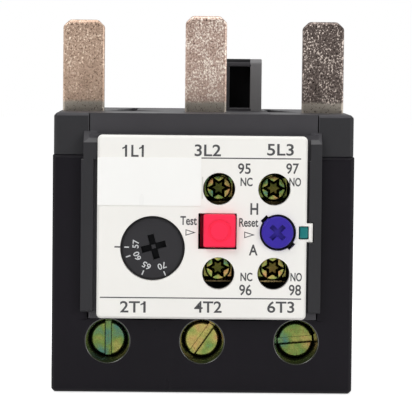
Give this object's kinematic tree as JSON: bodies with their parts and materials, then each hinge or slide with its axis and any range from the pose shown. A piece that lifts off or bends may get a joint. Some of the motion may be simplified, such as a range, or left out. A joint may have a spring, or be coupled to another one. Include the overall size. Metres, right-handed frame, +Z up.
{
  "type": "thermal overload relay",
  "caption": "Three-phase thermal overload relay with plug-in blades, box clamps, a current dial, test and reset buttons and a trip indicator.",
  "frame": {"origin": "centre of the bounding box on the underside", "axes": "+X right as seen from the front, the face plate looks along -Y, +Z up along the blades"},
  "size_m": [0.0702, 0.0824, 0.0883],
  "materials": {
    "housing_black": "moulded, fine grain",
    "housing_grey": "moulded, fine grain",
    "plate_white": "smooth moulded",
    "hook_plastic": "moulded",
    "dial_black": "moulded",
    "button_red": "satin moulded",
    "button_blue": "satin moulded",
    "flag_green": "satin moulded",
    "slide_plastic": "moulded",
    "inner_plastic": "moulded",
    "blade_plating": "plated copper, mottled",
    "contact_brass": "stamped",
    "bimetal": "rolled",
    "heater_tape": "rolled, oxidised",
    "zinc_yellow": "yellow passivated zinc",
    "plain_steel": "plain"
  },
  "bodies": {
    "case": {"terminal_housing": "housing_black", "rear_base": "housing_black", "top_housing": "housing_grey", "front_cover": "housing_grey", "face_plate": "plate_white", "mounting_hook": "hook_plastic", "case_screws": "plain_steel", "test_spring": "plain_steel", "rocker_pin": "plain_steel", "mechanism_base": "inner_plastic", "snap_spring": "plain_steel", "left_phase_blade": "blade_plating", "left_load_bar": "contact_brass", "left_heater_winding": "heater_tape", "middle_phase_blade": "blade_plating", "middle_load_bar": "contact_brass", "middle_heater_winding": "heater_tape", "right_phase_blade": "blade_plating", "right_load_bar": "contact_brass", "right_heater_winding": "heater_tape", "nc_upper_terminal": "contact_brass", "nc_lower_terminal": "contact_brass", "no_upper_terminal": "contact_brass", "no_lower_terminal": "contact_brass"},
    "dial": {"setting_dial": "dial_black"},
    "test_button": {"test_button": "button_red"},
    "reset_selector": {"reset_selector": "inner_plastic", "reset_spring": "plain_steel"},
    "reset_button": {"reset_button": "button_blue"},
    "trip_indicator": {"trip_indicator": "flag_green"},
    "rocker": {"contact_rocker": "slide_plastic", "opening_bridge": "contact_brass", "closing_bridge": "contact_brass"},
    "push_slide": {"push_slide": "slide_plastic"},
    "difference_slide": {"difference_slide": "slide_plastic"},
    "difference_lever": {"difference_lever": "slide_plastic"},
    "adjusting_slide": {"adjusting_slide": "slide_plastic"},
    "trip_lever": {"trip_lever": "slide_plastic", "compensation_strip": "bimetal"},
    "left_bimetal": {"left_bimetal_strip": "bimetal"},
    "left_screw": {"left_terminal_screw": "zinc_yellow"},
    "left_cage": {"left_clamp_cage": "zinc_yellow"},
    "middle_bimetal": {"middle_bimetal_strip": "bimetal"},
    "middle_screw": {"middle_terminal_screw": "zinc_yellow"},
    "middle_cage": {"middle_clamp_cage": "zinc_yellow"},
    "right_bimetal": {"right_bimetal_strip": "bimetal"},
    "right_screw": {"right_terminal_screw": "zinc_yellow"},
    "right_cage": {"right_clamp_cage": "zinc_yellow"},
    "nc_upper_washer": {"nc_upper_saddle_washer": "zinc_yellow"},
    "nc_upper_screw": {"nc_upper_terminal_screw": "zinc_yellow"},
    "nc_lower_washer": {"nc_lower_saddle_washer": "zinc_yellow"},
    "nc_lower_screw": {"nc_lower_terminal_screw": "zinc_yellow"},
    "no_upper_washer": {"no_upper_saddle_washer": "zinc_yellow"},
    "no_upper_screw": {"no_upper_terminal_screw": "zinc_yellow"},
    "no_lower_washer": {"no_lower_saddle_washer": "zinc_yellow"},
    "no_lower_screw": {"no_lower_terminal_screw": "zinc_yellow"}
  },
  "joints": [
    {"name": "dial_turn", "type": "hinge", "parent": "case", "child": "dial", "pos_m": [-0.0117, -0.0382, 0.034], "axis": [0, 1, 0], "range_deg": [0, 112]},
    {"name": "adjusting_travel", "type": "slide", "parent": "case", "child": "adjusting_slide", "axis": [-1, 0, 0], "range_m": [0, 0.00149]},
    {"name": "test_push", "type": "slide", "parent": "case", "child": "test_button", "axis": [0, 1, 0], "range_m": [0, 0.0025], "stiffness_N_per_m": 400, "deforming": ["test_spring"]},
    {"name": "reset_turn", "type": "hinge", "parent": "case", "child": "reset_selector", "pos_m": [0.0173, -0.0406, 0.0379], "axis": [0, -1, 0], "range_deg": [0, 90]},
    {"name": "reset_push", "type": "slide", "parent": "reset_selector", "child": "reset_button", "axis": [0, 1, 0], "range_m": [0, 0.002], "stiffness_N_per_m": 400, "deforming": ["reset_spring"]},
    {"name": "rocker_trip", "type": "hinge", "parent": "case", "child": "rocker", "pos_m": [0.0102, -0.0246, 0.03855], "axis": [0, 0, -1], "range_deg": [0, 10]},
    {"name": "indicator_travel", "type": "slide", "parent": "case", "child": "trip_indicator", "axis": [0, -1, 0], "range_m": [0, 0.0024]},
    {"name": "thermal_travel", "type": "slide", "parent": "case", "child": "push_slide", "axis": [-1, 0, 0], "range_m": [0, 0.0022], "stiffness_N_per_m": 200},
    {"name": "phase_loss_travel", "type": "slide", "parent": "push_slide", "child": "difference_slide", "axis": [1, 0, 0], "range_m": [0, 0.0006], "stiffness_N_per_m": 200},
    {"name": "difference_lever_turn", "type": "hinge", "parent": "push_slide", "child": "difference_lever", "pos_m": [-0.0024, -0.0018, 0.02615], "axis": [0, 0, -1], "range_deg": [0, 14.4]},
    {"name": "trip_lever_turn", "type": "hinge", "parent": "adjusting_slide", "child": "trip_lever", "pos_m": [-0.005, -0.017, 0.0258], "axis": [0, 0, 1], "range_deg": [0, 10.4]},
    {"name": "left_bimetal_bend", "type": "hinge", "parent": "case", "child": "left_bimetal", "pos_m": [-0.022, 0.008, 0.0567], "axis": [0, 1, 0], "range_deg": [0, 3.7]},
    {"name": "left_screw_turn", "type": "hinge", "parent": "case", "child": "left_screw", "pos_m": [-0.022, -0.0312, 0.0121], "axis": [0, 1, 0], "range_deg": [0, 2164]},
    {"name": "left_clamp_travel", "type": "slide", "parent": "case", "child": "left_cage", "axis": [0, -1, 0], "range_m": [0, 0.006]},
    {"name": "middle_bimetal_bend", "type": "hinge", "parent": "case", "child": "middle_bimetal", "pos_m": [0, 0.008, 0.0567], "axis": [0, 1, 0], "range_deg": [0, 3.7]},
    {"name": "middle_screw_turn", "type": "hinge", "parent": "case", "child": "middle_screw", "pos_m": [0, -0.0312, 0.0121], "axis": [0, 1, 0], "range_deg": [0, 2164]},
    {"name": "middle_clamp_travel", "type": "slide", "parent": "case", "child": "middle_cage", "axis": [0, -1, 0], "range_m": [0, 0.006]},
    {"name": "right_bimetal_bend", "type": "hinge", "parent": "case", "child": "right_bimetal", "pos_m": [0.022, 0.008, 0.0567], "axis": [0, 1, 0], "range_deg": [0, 3.7]},
    {"name": "right_screw_turn", "type": "hinge", "parent": "case", "child": "right_screw", "pos_m": [0.022, -0.0312, 0.0121], "axis": [0, 1, 0], "range_deg": [0, 2164]},
    {"name": "right_clamp_travel", "type": "slide", "parent": "case", "child": "right_cage", "axis": [0, -1, 0], "range_m": [0, 0.006]},
    {"name": "nc_upper_washer_travel", "type": "slide", "parent": "case", "child": "nc_upper_washer", "axis": [0, 1, 0], "range_m": [0, 0.0016]},
    {"name": "nc_upper_screw_turn", "type": "hinge", "parent": "nc_upper_washer", "child": "nc_upper_screw", "pos_m": [0.0036, -0.0332, 0.0479], "axis": [0, 1, 0], "range_deg": [0, 962]},
    {"name": "nc_lower_washer_travel", "type": "slide", "parent": "case", "child": "nc_lower_washer", "axis": [0, 1, 0], "range_m": [0, 0.0016]},
    {"name": "nc_lower_screw_turn", "type": "hinge", "parent": "nc_lower_washer", "child": "nc_lower_screw", "pos_m": [0.0036, -0.0332, 0.0292], "axis": [0, 1, 0], "range_deg": [0, 962]},
    {"name": "no_upper_washer_travel", "type": "slide", "parent": "case", "child": "no_upper_washer", "axis": [0, 1, 0], "range_m": [0, 0.0016]},
    {"name": "no_upper_screw_turn", "type": "hinge", "parent": "no_upper_washer", "child": "no_upper_screw", "pos_m": [0.0164, -0.0332, 0.0479], "axis": [0, 1, 0], "range_deg": [0, 962]},
    {"name": "no_lower_washer_travel", "type": "slide", "parent": "case", "child": "no_lower_washer", "axis": [0, 1, 0], "range_m": [0, 0.0016]},
    {"name": "no_lower_screw_turn", "type": "hinge", "parent": "no_lower_washer", "child": "no_lower_screw", "pos_m": [0.0164, -0.0332, 0.0292], "axis": [0, 1, 0], "range_deg": [0, 962]}
  ],
  "couplings": [
    {"joint": "dial_turn", "follows": "adjusting_travel", "rad_per_m": 1309.9},
    {"joint": "rocker_trip", "follows": "indicator_travel", "rad_per_m": 72.464},
    {"joint": "difference_lever_turn", "follows": "phase_loss_travel", "rad_per_m": 416.67},
    {"joint": "trip_lever_turn", "follows": "thermal_travel", "rad_per_m": 81.301},
    {"joint": "left_bimetal_bend", "follows": "thermal_travel", "rad_per_m": 28.653},
    {"joint": "left_screw_turn", "follows": "left_clamp_travel", "rad_per_m": 6283.2},
    {"joint": "middle_bimetal_bend", "follows": "thermal_travel", "rad_per_m": 28.653},
    {"joint": "middle_screw_turn", "follows": "middle_clamp_travel", "rad_per_m": 6283.2},
    {"joint": "right_bimetal_bend", "follows": "thermal_travel", "rad_per_m": 28.653},
    {"joint": "right_screw_turn", "follows": "right_clamp_travel", "rad_per_m": 6283.2},
    {"joint": "nc_upper_screw_turn", "follows": "nc_upper_washer_travel", "rad_per_m": 10472},
    {"joint": "nc_lower_screw_turn", "follows": "nc_lower_washer_travel", "rad_per_m": 10472},
    {"joint": "no_upper_screw_turn", "follows": "no_upper_washer_travel", "rad_per_m": 10472},
    {"joint": "no_lower_screw_turn", "follows": "no_lower_washer_travel", "rad_per_m": 10472}
  ]
}
